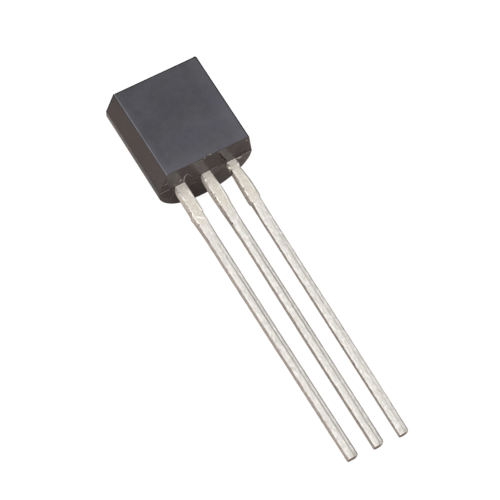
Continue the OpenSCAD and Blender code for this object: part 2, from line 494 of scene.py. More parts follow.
def bump(tree, height, depth_mm):
    """A normal from a height whose full range is depth_mm."""
    return node(tree, "Bump", [("Height", height), ("Distance", depth_mm * MM)]).outputs["Normal"]


def row_place(tree, axis):
    """The place along one of the row's axes."""
    place = node(tree, "TexCoord")
    return node(tree, "SeparateXYZ", [("Vector", place.outputs["Object"])]).outputs[axis]


def weighed(tree, parts):
    """The sum of values, each with its weight."""
    total = 0.0
    for value, weight in parts:
        total = maths(tree, "ADD", maths(tree, "MULTIPLY", value, weight), total)
    return total


def epoxy(name, dark, light, rough, bump_mm, edge_tone=0.0, gloss=0.5):
    """Filled moulding resin: clouded, blotched, grained, and paler towards its edges by a given share, on the
    side resin's right as painted light.
    """
    material, tree, shader = new_material(name)
    filler = grain(tree, *FILLER)
    tone = weighed(tree, zip((grain(tree, *CLOUDS), grain(tree, *BLOTCHES), filler), TONE_SHARES))
    tone = spread(tree, tone, *TONE_RANGE, 0, 1)
    # Paler towards the edges; on the side resin the paling towards the right is painted light
    for axis, start, full, share in PALER_EDGES:
        extra = spread(tree, row_place(tree, axis), start * MM, full * MM, 0, edge_tone * share)
        tone = maths(tree, "ADD", tone, extra)
    colour = blend_colour(tree, tone, dark, light)
    tinted = blend_colour(tree, mottle(tree, *TINTS), colour, RESIN_TINT, "MULTIPLY")
    feed(tree, shader, [("Base Color", tinted), ("Roughness", spread(tree, filler, *NOISE_RANGE, *rough)),
                        ("Normal", bump(tree, filler, bump_mm)), ("Specular IOR Level", gloss)])
    return material


def sheet_colour(tree, pale):
    """Speckled tin with painted light and a pale lip beside the case, streaked on the sheared sides and
    painted light on them.
    """
    speckle = weighed(tree, zip((grain(tree, *COARSE_SPECKS), grain(tree, *FINE_SPECKS)), SPECK_SHARES))
    place = row_place(tree, "Y")
    # Painted light on the tin near the case, and its pale lip
    root_light_and_lip = maths(tree, "ADD", spread(tree, place, *ROOT_PAINTED_LIGHT), spread(tree, place, *LIP))
    tone = maths(tree, "ADD", spread(tree, speckle, *SPECK_RANGE, 0, 1), root_light_and_lip)
    sheet = blend_colour(tree, tone, SHEET_DARK, SHEET_LIGHT)
    shear = maths(tree, "MULTIPLY", attribute(tree, "side"), mottle(tree, *SHEAR_STREAKS))
    # Painted light on the sheared sides beside the case
    return blend_colour(tree, pale, blend_colour(tree, shear, sheet, SHEAR_DARK), SIDE_PAINTED_LIGHT)


def solder_colour(tree, streak):
    """Streaked and frosted solder on the legs, with painted shade in the groove beside its ridge."""
    streaked = blend_colour(tree, spread(tree, streak, *NOISE_RANGE, 0, 1), SOLDER_DARK, SOLDER_LIGHT)
    frosted = blend_colour(tree, mottle(tree, *FROST), streaked, EDGE_BRIGHT)
    return blend_colour(tree, attribute(tree, "groove"), frosted, GROOVE_PAINTED_SHADE)


def bright_edge(tree, coat):
    """How bright the chipped edges are, partly as painted highlight, less so on the solder."""
    chips = maths(tree, "MULTIPLY", attribute(tree, "rim"), mottle(tree, *CHIPS))
    return maths(tree, "MULTIPLY", chips, float_mix(tree, coat, *EDGE_GAINS))


def edge_pits(tree, coat, away):
    """How dark the pits in those edges are, less so beside the case and on the solder."""
    pits = maths(tree, "MULTIPLY", attribute(tree, "rim"), mottle(tree, *PITS))
    return maths(tree, "MULTIPLY", pits, float_mix(tree, coat, away, SOLDER_PITS))


def edge_shade(tree, coat):
    """How dark the shaded edges are: on the sheet, in patches on the solder and at the tips."""
    tips = spread(tree, row_place(tree, "Y"), *TIP_SHADE)
    patches = maths(tree, "ADD", mottle(tree, *SHADE_PATCHES), tips)
    return maths(tree, "MULTIPLY", attribute(tree, "shade"), float_mix(tree, coat, SHEET_SHADE, patches))


def tin(name):
    """Tinned copper: matte sheet near the case, solder below, chipped edges partly painted highlight, painted
    light and shade, and bare tips.
    """
    material, tree, shader = new_material(name)
    coat = attribute(tree, "coat")
    streak = grain(tree, *STREAKS)
    # Painted light on the sheared sides beside the case, in streaks
    pale = maths(tree, "MULTIPLY", attribute(tree, "pale"), mottle(tree, *PALE_STREAKS))
    away = spread(tree, row_place(tree, "Y"), *SHINE_LOSS)
    edge = bright_edge(tree, coat)
    colour = blend_colour(tree, coat, sheet_colour(tree, pale), solder_colour(tree, streak))
    # Layered over the tin: edges partly painted highlight, pits, painted shade, painted shadow below the
    # lump, and the bare cut
    for share, paint in ((edge, EDGE_BRIGHT), (edge_pits(tree, coat, away), PIT_DARK),
                         (edge_shade(tree, coat), SHADE_DARK), (attribute(tree, "lump_shadow"), LUMP_PAINTED_SHADOW),
                         (attribute(tree, "cut"), CUT_BARE)):
        colour = blend_colour(tree, share, colour, paint)
    metal = float_mix(tree, coat, float_mix(tree, pale, SHEET_METAL, PALE_METAL), 1.0)
    metal = maths(tree, "MAXIMUM", metal, maths(tree, "MULTIPLY", edge, away))
    rough = float_mix(tree, coat, spread(tree, streak, *NOISE_RANGE, *SHEET_ROUGH),
                      spread(tree, streak, *NOISE_RANGE, *SOLDER_ROUGH))
    rough = float_mix(tree, edge, rough, EDGE_ROUGH)
    height = weighed(tree, zip((streak, grain(tree, *GRIT)), TIN_GRAIN_SHARES))
    feed(tree, shader, [("Base Color", colour), ("Metallic", metal), ("Roughness", rough),
                        ("Normal", bump(tree, height, TIN_GRAIN_MM))])
    return material


def plain_metal(name, dark, light, rough, cells, metal=1.0):
    """A clouded metal or a piece like one."""
    material, tree, shader = new_material(name)
    cloud = grain(tree, cells, cells, 3, 0.55)
    colour = blend_colour(tree, spread(tree, cloud, *NOISE_RANGE, 0, 1), dark, light)
    clouded = spread(tree, cloud, *NOISE_RANGE, *(rough * share for share in ROUGH_SHARES))
    feed(tree, shader, [("Base Color", colour), ("Metallic", metal), ("Roughness", clouded)])
    return material


# Each resin's dark and light colours, least and most roughness, and depth of grain in mm
CASE_FACE = epoxy("case_face", (0.033, 0.032, 0.0415), (0.057, 0.056, 0.069), (0.5, 0.62), 0.006, edge_tone=0.6)
# Its paling towards the right edge is painted light, where the case's own shade falls
CASE_SIDE = epoxy("case_side", (0.021, 0.016, 0.016), (0.037, 0.029, 0.029), (0.15, 0.24), 0.002, edge_tone=0.45)
CASE_FLASH = epoxy("case_flash", (0.12, 0.115, 0.09), (0.24, 0.23, 0.19), (0.35, 0.5), 0.003)
# A painted highlight along the case's left edge
CASE_PAINTED_HIGHLIGHT = epoxy("case_painted_highlight", (0.1, 0.103, 0.112), (0.16, 0.165, 0.177), (0.18, 0.28), 0.003)
# Painted shade on the case's top and right edges and under the top's edge
CASE_PAINTED_SHADE = epoxy("case_painted_shade", (0.006, 0.005, 0.005), (0.012, 0.01, 0.01), (0.45, 0.6), 0.003, gloss=0.02)
RESIN_TRIM = epoxy("resin_trim", (0.32, 0.285, 0.24), (0.5, 0.46, 0.39), (0.35, 0.5), 0.004)
# Dark resin of the lines on the case, partly painted shadow, and of the painted shadow round the leads' roots
DARK_RESIN_AND_SHADOW = epoxy("dark_resin_and_painted_shadow", (0.012, 0.007, 0.007), (0.026, 0.014, 0.014), (0.5, 0.6), 0.004, gloss=0.1)
TIN = tin("tinned_metal_finish")
# Each plain tin's dark and light colours, roughness, cells to the mm and metal share
# Bright tin of the burrs and scratches, also painted highlight on the threads along the leads' edges
BRIGHT_TIN_AND_HIGHLIGHT = plain_metal("bright_tin_and_painted_highlight", (0.9, 0.88, 0.85), (1.0, 0.985, 0.96), 0.4, 9, 0.2)
PITTED_TIN = plain_metal("pitted_tin", (0.16, 0.135, 0.11), (0.3, 0.26, 0.22), 0.5, 14, 0.2)


# The case

def case_shape():
    """Half widths of the case's columns, and its front and back edge at a half width."""
    lean = tan(SIDE_DRAFT)
    back_mid = BACK_D - BACK_R
    a = 1 + lean * lean
    b = -2 * (CASE_HALF * lean + back_mid)
    c = CASE_HALF ** 2 + back_mid ** 2 - BACK_R ** 2
    side_y = (-b + sqrt(b * b - 4 * a * c)) / 2 / a
    side_x = CASE_HALF - side_y * lean
    side_run = FRONT_D / (CASE_HALF - FLAT_HALF)
    side_turn = atan2(FRONT_D, CASE_HALF - FLAT_HALF)
    corner_x = FLAT_HALF - CORNER_R * tan(side_turn / 2)

    def front_edge(x):
        if x <= corner_x:
            return -FRONT_D
        if x <= corner_x + CORNER_R * sin(side_turn):
            return CORNER_R - FRONT_D - sqrt(max(CORNER_R ** 2 - (x - corner_x) ** 2, 0))
        return (x - CASE_HALF) * side_run

    def back_edge(x):
        if x <= side_x:
            return back_mid + sqrt(BACK_R ** 2 - x * x)
        return (CASE_HALF - x) / lean

    start = asin((side_y - back_mid) / BACK_R)
    widths = {BACK_R * cos(turn) for turn in steps(start, pi / 2, BACK_STEPS)}
    widths |= {corner_x + CORNER_R * sin(turn) for turn in steps(0, side_turn, EDGE_STEPS)}
    widths |= {CASE_HALF - inset for inset in COLUMN_INSETS}
    return sorted(round(w, 5) for w in widths), front_edge, back_edge


def drafted(x, y, z):
    """A point of the case moved in from its end by the draft at its depth."""
    middle = CASE_H / 2
    return x, y, middle + (z - middle) * (1 - 2 * abs(y) * tan(END_DRAFT) / CASE_H)


def side_flash(side, z):
    """How far the resin flash stands out at a height on one side."""
    extra = mix(*LEFT_FLASH, z / CASE_H) if side < 0 else 0
    return FLASH_H + extra + FLASH_NOISE * ripple(side * 3.1, 7.7, z * 2.3)


def end_flash(x, top):
    """How far the resin flash stands out of the top or the lead face."""
    ragged = FLASH_H + END_NOISE_SHARE * FLASH_NOISE * ripple(x * 4.1, 2.2, 5.5 if top else 1.5)
    if top:
        return ragged
    corner = CORNER_FLASH * stretch(CORNER_FLASH_X, abs(x))
    tab = TAB_FLASH * stretch(TAB_FLASH_X, x) * (0.8 + 0.4 * ripple(x * 9, 0.3, 0.6))
    return ragged * LEAD_FACE_SHARE + corner + tab


def wall_shift(x, z, nx, ny, inset):
    """How far out of the outline a point of a wall is, where the ends' rounding is inset."""
    if ny < FLAT_NY:
        return -inset
    swell = BACK_SWELL * max(ny, 0) * ease(*BACK_SWELL_X, abs(x))
    lean = BACK_LEAN * max(ny, 0) * max(-nx, 0) * ease(*BACK_LEAN_NY, ny) * (1 - 2 * z / CASE_H)
    return swell + lean - inset * SIDE_ROUND


def corner_shift(x, y, z, inset):
    """How far the rounder top right and low left edges move a point along X."""
    if z > CASE_H / 2:
        return -TOP_RIGHT_ROUND * inset * ease(*TOP_RIGHT_X, x)
    return LOW_LEFT_ROUND * inset * ease(*LOW_LEFT_X, x) * ease(*LOW_LEFT_Y, y)


def case_outline():
    """Points round the case from its left on, the way out at each, and how many are in front."""
    widths, front_edge, back_edge = case_shape()
    columns = [-w for w in reversed(widths[1:])] + widths
    outline = [(x, front_edge(abs(x))) for x in columns]
    outline += [(x, back_edge(abs(x))) for x in reversed(columns[1:-1])]
    outward = []
    for k in range(len(outline)):
        (x0, y0), (x1, y1) = outline[k - 1], outline[(k + 1) % len(outline)]
        size = hypot(x1 - x0, y1 - y0)
        outward.append(((y1 - y0) / size, (x0 - x1) / size))
    return outline, outward, len(columns)


def case_levels():
    """The case's rings from the leads up: how far in and how high each is."""
    turns = steps(0, pi / 2, EDGE_STEPS)
    levels = [(END_R * (1 - sin(t)), END_R * (1 - cos(t))) for t in turns]
    levels += [(0, z) for z in steps(END_R, CASE_H - TOP_R, WALL_STEPS)[1:-1]]
    levels += [(TOP_R * (1 - sin(t)), CASE_H - TOP_R * (1 - cos(t))) for t in reversed(turns)]
    return levels


def end_faces(points, front, count, start, way):
    """Faces of an end of the case, with a ridge of flash whose points it adds."""
    z = CASE_H if way > 0 else 0
    rows = []
    for near in range(start, start + front):
        far = 2 * start + count - near
        if near in (start, start + front - 1):
            rows.append([near] * 5)
            continue
        x = points[near][0]
        reach = min(FLASH_HALF, -points[near][1] / 2, points[far][1] / 2)
        rows.append([near, len(points), len(points) + 1, len(points) + 2, far])
        points.append(drafted(x, -reach, z))
        points.append(drafted(x, 0, z + way * end_flash(x, way > 0)))
        points.append(drafted(x, reach, z))
    faces = []
    for left, right in zip(rows, rows[1:]):
        for k in range(4):
            face = tuple(dict.fromkeys((left[k], right[k], right[k + 1], left[k + 1])))
            faces.append(face[::way])
    return faces


def case_mesh():
    """Points and faces of the case: rings up its walls, and ends with a ridge of flash."""
    outline, outward, front = case_outline()
    levels = case_levels()
    points = []
    for inset, z in levels:
        for k, ((x, y), (nx, ny)) in enumerate(zip(outline, outward)):
            parting = k in (0, front - 1) and inset == 0
            out = side_flash(nx, z) if parting else wall_shift(x, z, nx, ny, inset)
            points.append(drafted(x + nx * out + corner_shift(x, y, z, inset), y + ny * out, z))
    count = len(outline)
    faces = tube_faces(count, len(levels))
    faces += end_faces(points, front, count, 0, -1)
    faces += end_faces(points, front, count, count * (len(levels) - 1), 1)
    return points, faces


def gate_mesh():
    """Points and faces of the broken gate on the top, behind the parting plane."""
    levels = [(CASE_H - GATE_ROOT, 0)] + [(CASE_H + GATE_H * share, inset) for share, inset in GATE_RINGS]
    rings = []
    for z, inset in levels:
        ring = []
        half_x = GATE_HALF - inset
        half_y = GATE_T / 2 - inset
        for x, y in rounded_rectangle(half_x, half_y, GATE_CORNER_R, GATE_CORNER_R, GATE_SIDE_STEPS):
            ragged = GATE_RAGGED * ripple(x * 9, y * 9, z * 3) if z > CASE_H else 0
            ring.append((x + ragged, GATE_T / 2 + y, z + ragged))
        rings.append(ring)
    return loft(rings)


def rounded_rectangle(half_x, half_y, front_r, back_r, side_steps):
    """Points round a rectangle with rounded corners, from the front right on."""
    arcs = []
    for corner, (way_x, way_y) in enumerate(((1, -1), (1, 1), (-1, 1), (-1, -1))):
        radius = front_r if way_y < 0 else back_r
        mid_x = way_x * (half_x - radius)
        mid_y = way_y * (half_y - radius)
        turns = steps(pi / 2 * (corner - 1), pi / 2 * corner, ARC_STEPS)
        arcs.append([(mid_x + radius * cos(t), mid_y + radius * sin(t)) for t in turns])
    points = []
    for arc, following in zip(arcs, arcs[1:] + arcs[:1]):
        points += arc
        (x0, y0), (x1, y1) = arc[-1], following[0]
        for t in steps(0, 1, side_steps)[1:-1]:
            points.append((mix(x0, x1, t), mix(y0, y1, t)))
    return points


def stands_out(point):
    """Whether a point of the case is on its pale resin flash."""
    x, y, z = point
    pale_end = z < -TOUCH and any(low < x < high for low, high in PALE_FLASH_X)
    return abs(y) < TOUCH and (abs(x) > CASE_HALF + TOUCH or pale_end)


def near_top(point):
    """Whether a point of the case is in the dark rim of painted shade under the top's edge."""
    _, y, z = point
    return z + abs(y) * tan(END_DRAFT) > CASE_H - RIM_H


def case_finish(normal, corners):
    """Finish of a face of the case, by its normal and its corners on the moulding: a painted highlight on the
    left edge, painted shade on the top and right edges.
    """
    facing = normal.dot(FRONT)
    rise = normal.dot(UP)
    forward, aside = LEFT_EDGE_TURN
    if facing > forward and normal.x < -aside:
        return LIT_EDGE
    forward, aside = RIM_TURN
    if facing > forward and max(normal.x, rise) > aside:
        return SHADED_RIM
    if facing > FACE_TURN:
        return FACE
    if corners and rise < RIM_RISE and all(near_top(corner) for corner in corners):
        return SHADED_RIM
    return FLASH if any(stands_out(corner) for corner in corners) else SIDE


def build_case():
    """The moulding with the broken gate on its top."""
    points, faces = case_mesh()
    gate_points, gate_faces = gate_mesh()
    faces += [tuple(len(points) + k for k in face) for face in gate_faces]
    finishes = [CASE_FACE, CASE_SIDE, CASE_FLASH, CASE_PAINTED_HIGHLIGHT, CASE_PAINTED_SHADE]
    case = add_piece("case_moulding", points + gate_points, faces, finishes)
    for polygon in case.data.polygons:
        corners = [points[k] for k in polygon.vertices if k < len(points)]
        polygon.material_index = case_finish(polygon.normal, corners)
    smoothing = case.modifiers.new("even_shading", "WEIGHTED_NORMAL")
    smoothing.keep_sharp = True
    smoothing.weight = SHADING_WEIGHT
    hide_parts("moulded_case")


# The leads

def lead_x(name):
    """Where a lead leaves the case, along X."""
    return mounts[name + "_exit"]["pos_m"][0] / MM


def lead_end(name):
    """Depth of a lead's tip below the lead face."""
    return LEAD_LEN - TIP_TRIM[name]


def lead_depths(name):
    """Depths of a lead's rings, from its tip to the top of its head."""
    head_top = -HEAD_Z - HEADS[name][1]
    end = lead_end(name)
    head = [head_top, head_top + HEAD_BEVEL, -HEAD_Z - HEAD_BEVEL, -HEAD_Z, -HEAD_Z + HEAD_BEVEL]
    blade = steps(0, BLADE_END, BLADE_RINGS)
    leg = steps(BLADE_END, end - TIP_RUN, LEG_RINGS)[1:]
    tip = [end - TIP_RUN * (1 - sin(t)) for t in steps(0, pi / 2, TIP_RINGS)][1:]
    return [*head, *NECK_DEPTHS, *blade, *leg, *tip][::-1]


def tip_loss(left_over, radius):
    """How far in a rounded corner is where that much of the lead is left over."""
    t = max(radius - left_over, 0)
    return radius - sqrt(max(radius * radius - t * t, 0))


def lead_section(name, depth):
    """Half widths of a lead to its left and right, and how far in its front and back are."""
    head_w, head_h = HEADS[name]
    left = along(LEFT_EDGES[name], max(depth, 0))
    right = along(RIGHT_EDGES[name], max(depth, 0))
    if depth <= -HEAD_Z:
        bevel = HEAD_BEVEL if depth == -HEAD_Z - head_h else 0
        left = right = head_w / 2 - bevel
    left_over = lead_end(name) - depth
    left -= tip_loss(left_over, TIP_LEFT_R)
    right -= tip_loss(left_over, TIP_RIGHT_RS[name])
    return left, right, tip_loss(left_over, TIP_FRONT_R), tip_loss(left_over, TIP_LEFT_R)


def solder_ridge(name, depth):
    """Where the solder's ridge is across a leg, and how high its step is."""
    x = lead_x(name)
    place = RIDGE_AT + RIDGE_WANDER * ripple(x, 0.5, depth * 0.45)
    noisy = 1 + RIDGE_NOISE_SHARE * ripple(x, 4.5, depth * 0.3)
    step = RIDGE_STEPS[name] * ease(*RIDGE_RISE, depth) * noisy
    return place, step * mix(1, RIDGE_LOW_SHARE, ease(*RIDGE_SINK, depth))


def unevenness(x, y, depth, coat, across, deep):
    """How far out a lead's unevenness pushes a point, most at the front left."""
    ragged = RAGGED_LEFT if across < 0 and deep < 0 else RAGGED
    size = mix(*UNEVEN, coat) + ragged * abs(across * deep) ** 3
    return size * ripple(x * UNEVEN_CELLS, y * UNEVEN_CELLS, depth * mix(*UNEVEN_LONG_CELLS, coat))


def lead_ring(name, depth):
    """Points round a lead at a depth, and how deep in the ridge's groove each is."""
    x = lead_x(name)
    coat = ease(*TINNED, depth)
    left, right, front_loss, back_loss = lead_section(name, depth)
    half_x = (left + right) / 2
    half_y = LEAD_T / 2 - (front_loss + back_loss) / 2
    lean = max(depth - DAM_LOW, 0) * tan(LEG_LEAN)
    mid_x = x + (right - left) / 2
    mid_y = LEAD_T / 2 + lean + (front_loss - back_loss) / 2
    front_r, back_r = (min(mix(STRIP_CORNER_R, leg_r, coat), half_x * CORNER_SHARE, half_y * CORNER_SHARE)
                       for leg_r in LEG_CORNERS[name])
    crown = mix(*CROWNS, coat)
    ridge, step = solder_ridge(name, depth)
    flare = SHEAR_FLARE * ease(0, SHEAR_FLARE_RUN, depth) * (1 - coat)
    slant = TIP_SLANT * ease(TIP_SLANT_RUN, 0, lead_end(name) - depth)
    ring = []
    grooves = []
    for px, py in rounded_rectangle(half_x, half_y, front_r, back_r, SIDE_STEPS):
        across = px / half_x
        deep = py / half_y
        px += (flare * (1 + deep) / 2 - crown * deep * deep) * across
        py -= crown * across * across * deep
        groove = 0
        if deep < 0:
            py -= step * ease(ridge, ridge + RIDGE_W, across) * deep
            off = abs(across - ridge - RIDGE_W / 2) / RIDGE_W
            groove = max(1 - off / GROOVE_SHARE, 0) * step / RIDGE_FULL
        if depth > EVEN_ROOT:
            shift = unevenness(x + px, py, depth, coat, across, deep)
            px += shift * across
            py += shift * deep
        ring.append((mid_x + px, mid_y + py, slant * (py + half_y) - depth))
        grooves.append(groove)
    return ring, grooves


def bright_edges(edge_tone, coat):
    """How bright the edges of a ring are, partly as painted highlight, by depth and by the coat of solder."""
    rim = [0.0] * RING
    rim[FRONT_LEFT:FRONT_LEFT + ARC] = [mix(share, k / ARC_STEPS, coat) for k, share in enumerate(CORNER_RIM)]
    rim[FRONT_LEFT + ARC:FRONT_LEFT + ARC + len(LEFT_RIM)] = LEFT_RIM
    rim[:ARC] = [ROOT_RIM[0] * (1 - edge_tone)] * ARC
    rim[-len(RIGHT_RIM):] = [mix(a, b, edge_tone) for a, b in zip(ROOT_RIM, RIGHT_RIM)][::-1]
    return rim


def shaded_edges(name, edge_tone, coat, tip_painted_shade, grey):
    """How much painted shade a ring has: on its right edge below a depth, on its front at the tip and on its
    left.
    """
    shade = [0.0] * RING
    shade[FRONT_LEFT + ARC:] = [tip_painted_shade * share for share in steps(0, 1, SIDE_STEPS - 2)]
    shade[:ARC] = [max(edge_tone * max(share, EDGE_SHADES[name]), tip_painted_shade) for share in RIGHT_SHADE]
    shade[-1] = max(edge_tone * EDGE_SHADES[name], tip_painted_shade)
    front_shade, back_shade = LEFT_PAINTED_SHADES[name]
    for k, share in enumerate(FRONT_FADE, FRONT_LEFT):
        shade[k] = max(shade[k], grey * front_shade * share * mix(*FRONT_PAINTED_SHADE, coat))
    for k, share in enumerate(BACK_FADE, BACK_LEFT):
        shade[k] = back_shade * share * mix(*BACK_PAINTED_SHADE, coat)
    return shade


def on_sides(right, left):
    """Shares on the right and the left side of a ring, and none elsewhere."""
    shares = [0.0] * RING
    shares[ARC:STRIDE] = [right] * (STRIDE - ARC)
    shares[BACK_LEFT + ARC:FRONT_LEFT] = [left] * (STRIDE - ARC)
    return shares


def ring_shares(name, depth):
    """How far each point of a lead's ring has each kind of finish."""
    left_over = lead_end(name) - depth
    coat = ease(*TINNED, depth)
    edge_tone = ease(SHADE_FROM[name], SHADE_FROM[name] + SHADE_RUN, depth)
    # Painted shade on the right of the front at the tip
    tip_painted_shade = TIP_PAINTED_SHADE * ease(*TIP_PAINTED_SHADE_RUN, left_over)
    # How far the left's painted shade holds, none at the tip
    grey = ease(*TIP_CLEAR, left_over)
    # Painted shadow on the left side below the lump of sheet
    lump_shadow = stretch(LUMP_SHADOW_DEPTHS[name], depth) if name in LUMP_SHADOW_DEPTHS else 0
    # Painted light on the sheared sides beside the case
    pale = PALE_SHARES[name] * ease(PALE_ENDS[name], PALE_FULL, depth)
    return {
        "cut": [ease(*CUT_RUN, left_over)] * RING,
        "rim": bright_edges(edge_tone, coat),
        "shade": shaded_edges(name, edge_tone, coat, tip_painted_shade, grey),
        "side": on_sides(1, 1),
        "lump_shadow": on_sides(0, lump_shadow),
        "pale": on_sides(pale, pale),
    }


def build_lead(name):
    """A lead with its head, whose points hold their shares of each finish."""
    depths = lead_depths(name)
    rings, grooves = zip(*(lead_ring(name, depth) for depth in depths))
    points, faces = loft(rings)
    lead = add_piece(name + "_stamping", points, faces, [TIN])
    shares = [{**ring_shares(name, depth), "groove": groove} for depth, groove in zip(depths, grooves)]
    kinds = {"coat": [ease(*SOLDERED[name], -z) for _, _, z in points]}
    for kind in shares[0]:
        ends = [1, 0] if kind == "cut" else [0, 0]
        kinds[kind] = [share for ring in shares for share in ring[kind]] + ends
    for kind, values in kinds.items():
        lead.data.attributes.new(kind, "FLOAT", "POINT").data.foreach_set("value", values)
    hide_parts(name)


# Fine marks on the case and the leads

# Points round a thread, how thin its ends are, and a way that no thread runs
BEAD_SIDES = 8
BEAD_END_SHARE = 0.35
BEAD_ASIDE = Vector((0.3, 0.5, 0.8))


def bead_mesh(path, radius):
    """Points and faces of a thin thread through a path, fine at both ends."""
    rings = []
    for k, middle in enumerate(path):
        before = Vector(path[max(k - 1, 0)])
        after = Vector(path[min(k + 1, len(path) - 1)])
        way = (after - before).normalized()
        side = way.cross(BEAD_ASIDE).normalized()
        rise = way.cross(side)
        size = radius * mix(BEAD_END_SHARE, 1, sin(pi * (k + 0.5) / len(path)))
        rings.append([tuple(Vector(middle) + size * (cos(t) * rise + sin(t) * side))
                      for t in steps(0, 2 * pi, BEAD_SIDES)[:-1]])
    return loft(rings)


# Pale threads and specks of resin on the case, each a path and a radius
RESIN_MARKS = [
    ([(-1.1, -0.04, -0.004), (-1.115, -0.2, 0), (-1.112, -0.348, 0.004), (-1.106, -0.5, 0.008),
      (-1.051, -0.576, 0.01), (-0.969, -0.63, 0.012)], 0.017),
    ([(-1.353, -0.284, 0.002), (-1.292, -0.35, 0.004), (-1.231, -0.413, 0.006)], 0.019),
    ([(1.887, -1.17, 0.026), (1.951, -1.083, 0.024)], 0.022),
    ([(-0.19, -1.31, 0.03), (-0.15, -1.31, 0.03)], 0.026),
    ([(0.06, -1.34, 0.06), (0.1, -1.34, 0.06)], 0.026),
    ([(0.13, -1.34, 0.055), (0.17, -1.34, 0.055)], 0.022),
    ([(1.48, -0.02, -0.045), (1.56, -0.02, -0.06), (1.65, -0.02, -0.06), (1.75, -0.02, -0.045)], 0.045),
]
# Faint ones
FAINT_MARKS = [
    ([(-2.1, -0.56, 0.004), (-2.03, -0.61, 0.004), (-1.95, -0.63, 0.004)], 0.02),
    ([(-2.16, -0.22, 0.006), (-2.1, -0.33, 0.006), (-2.03, -0.42, 0.006)], 0.012),
    ([(-0.93, -0.58, 0.012), (-0.854, -0.446, 0.008), (-0.707, -0.193, 0.002)], 0.011),
    ([(-0.62, 0.52, 0.01), (-0.55, 0.48, 0.008), (-0.47, 0.49, 0.008), (-0.366, 0.555, 0.012)], 0.014),
]
# Dark lines on the resin: one from the front edge to the base lead's root, painted shadow in front of the
# flash tab right of that lead, and one at the left end
DARK_RESIN_LINES = [
    ([(0.614, -1.07, 0.016), (0.69, -0.8, 0.016), (0.775, -0.598, 0.016), (0.9, -0.36, 0.014),
      (0.97, -0.24, 0.014), (1.02, -0.11, 0.01)], 0.034),
    ([(1.695, -0.197, 0.016), (1.89, -0.192, 0.016), (2.032, -0.17, 0.014)], 0.032),
    ([(-2.23, -0.42, 0.012), (-2.1, -0.4, 0.012), (-1.89, -0.342, 0.012)], 0.02),
]
# Scratches and burrs of bright metal on the leads, and threads of painted highlight along their edges
LEAD_BURRS_AND_HIGHLIGHTS = [
    ([(-1.5, 0, -1.652), (-1.46, 0, -1.686), (-1.39, 0, -1.742), (-1.328, 0, -1.795), (-1.245, 0, -1.863),
      (-1.16, 0, -1.932)], 0.046),
    ([(-1.565, 0.006, -1.76), (-1.55, 0.004, -1.8)], 0.032),
    ([(-1.28, 0, -2.02), (-1.255, 0, -2.05)], 0.034),
    ([(-1.075, 0.012, -1.46), (-1.078, 0.01, -1.53)], 0.034),
    ([(1.435, 0.005, -0.21), (1.43, 0, -0.28), (1.425, 0.005, -0.35)], 0.042),
    ([(-1.503, 0.004, -0.34), (-1.495, 0.004, -0.59), (-1.486, 0.004, -0.84)], 0.03),
    ([(-1.471, 0.004, -1.01), (-1.475, 0.004, -1.15)], 0.024),
    ([(-1.15, 0.004, -0.19), (-1.126, 0.004, -0.45), (-1.106, 0.004, -0.7)], 0.024),
    ([(-0.242, 0.004, -0.26), (-0.245, 0.004, -0.37)], 0.03),
    ([(-0.249, 0.004, -0.47), (-0.236, 0.004, -0.68), (-0.233, 0.004, -0.87)], 0.028),
    ([(-0.234, 0.004, -1.15), (-0.23, 0.004, -1.23)], 0.036),
    ([(0.178, 0.004, -0.37), (0.19, 0.004, -0.75), (0.182, 0.004, -1.04), (0.172, 0.004, -1.34),
      (0.165, 0.004, -1.5)], 0.03),
    ([(1.055, 0.004, -0.4), (1.054, 0.004, -0.51), (1.05, 0.004, -0.64)], 0.034),
    ([(1.072, 0.004, -1.02), (1.068, 0.004, -1.09)], 0.024),
    ([(1.001, 0.004, -1.64), (1.003, 0.004, -1.7)], 0.03),
]
# Dark pits in the left edges of the leads
LEAD_PITS = [
    ([(-1.562, 0.012, -1.4), (-1.56, 0.012, -1.44)], 0.034),
    ([(-1.558, 0.006, -2.05), (-1.56, 0.008, -2.1)], 0.036),
    ([(-0.266, 0.04, -0.92), (-0.268, 0.04, -0.98)], 0.03),
    ([(-0.262, 0.015, -1.25), (-0.262, 0.015, -1.31)], 0.032),
    ([(-0.262, 0.14, -1.39), (-0.262, 0.14, -1.47)], 0.03),
    ([(-0.258, 0.11, -1.66), (-0.256, 0.1, -1.73), (-0.255, 0.1, -1.8)], 0.034),
    ([(-0.262, 0.035, -2.62), (-0.264, 0.037, -2.68)], 0.03),
]
# Lumps of sheet pushed out by the shear
LEAD_LUMPS = [
    ([(1.03, 0.03, -0.17), (1.0, 0.02, -0.22), (0.99, 0.02, -0.28), (1.02, 0.02, -0.36)], 0.06),
]
# The painted shadow round each lead's root, a dark thread: its radius, its height and its (X, Y) points from
# the lead's left edge, middle and right edge
ROOT_SHADOW_R = 0.015
ROOT_SHADOW_Z = 0.004
ROOT_SHADOW_LEFT = ((0, 0.3), (0, 0.12), (0.01, -0.004))
ROOT_SHADOW_MIDDLE = ((0, -0.008),)
ROOT_SHADOW_RIGHT = ((-0.02, -0.004),)


def root_painted_shadows():
    """Paths of the painted shadow round the front of each lead's root."""
    shadow_paths = []
    for name in LEADS:
        x = lead_x(name)
        left = x - LEFT_EDGES[name][0][1]
        right = x + RIGHT_EDGES[name][0][1]
        stretches = ((left, ROOT_SHADOW_LEFT), (x, ROOT_SHADOW_MIDDLE), (right, ROOT_SHADOW_RIGHT))
        path = [(start + along_x, y, ROOT_SHADOW_Z) for start, places in stretches for along_x, y in places]
        shadow_paths.append((path, ROOT_SHADOW_R))
    return shadow_paths


def build_marks(name, marks, finish):
    """One piece of all the marks of a kind."""
    points = []
    faces = []
    for path, radius in marks:
        bead_points, bead_faces = bead_mesh(path, radius)
        faces += [tuple(len(points) + k for k in face) for face in bead_faces]
        points += bead_points
    add_piece(name, points, faces, [finish])


# The pieces inside

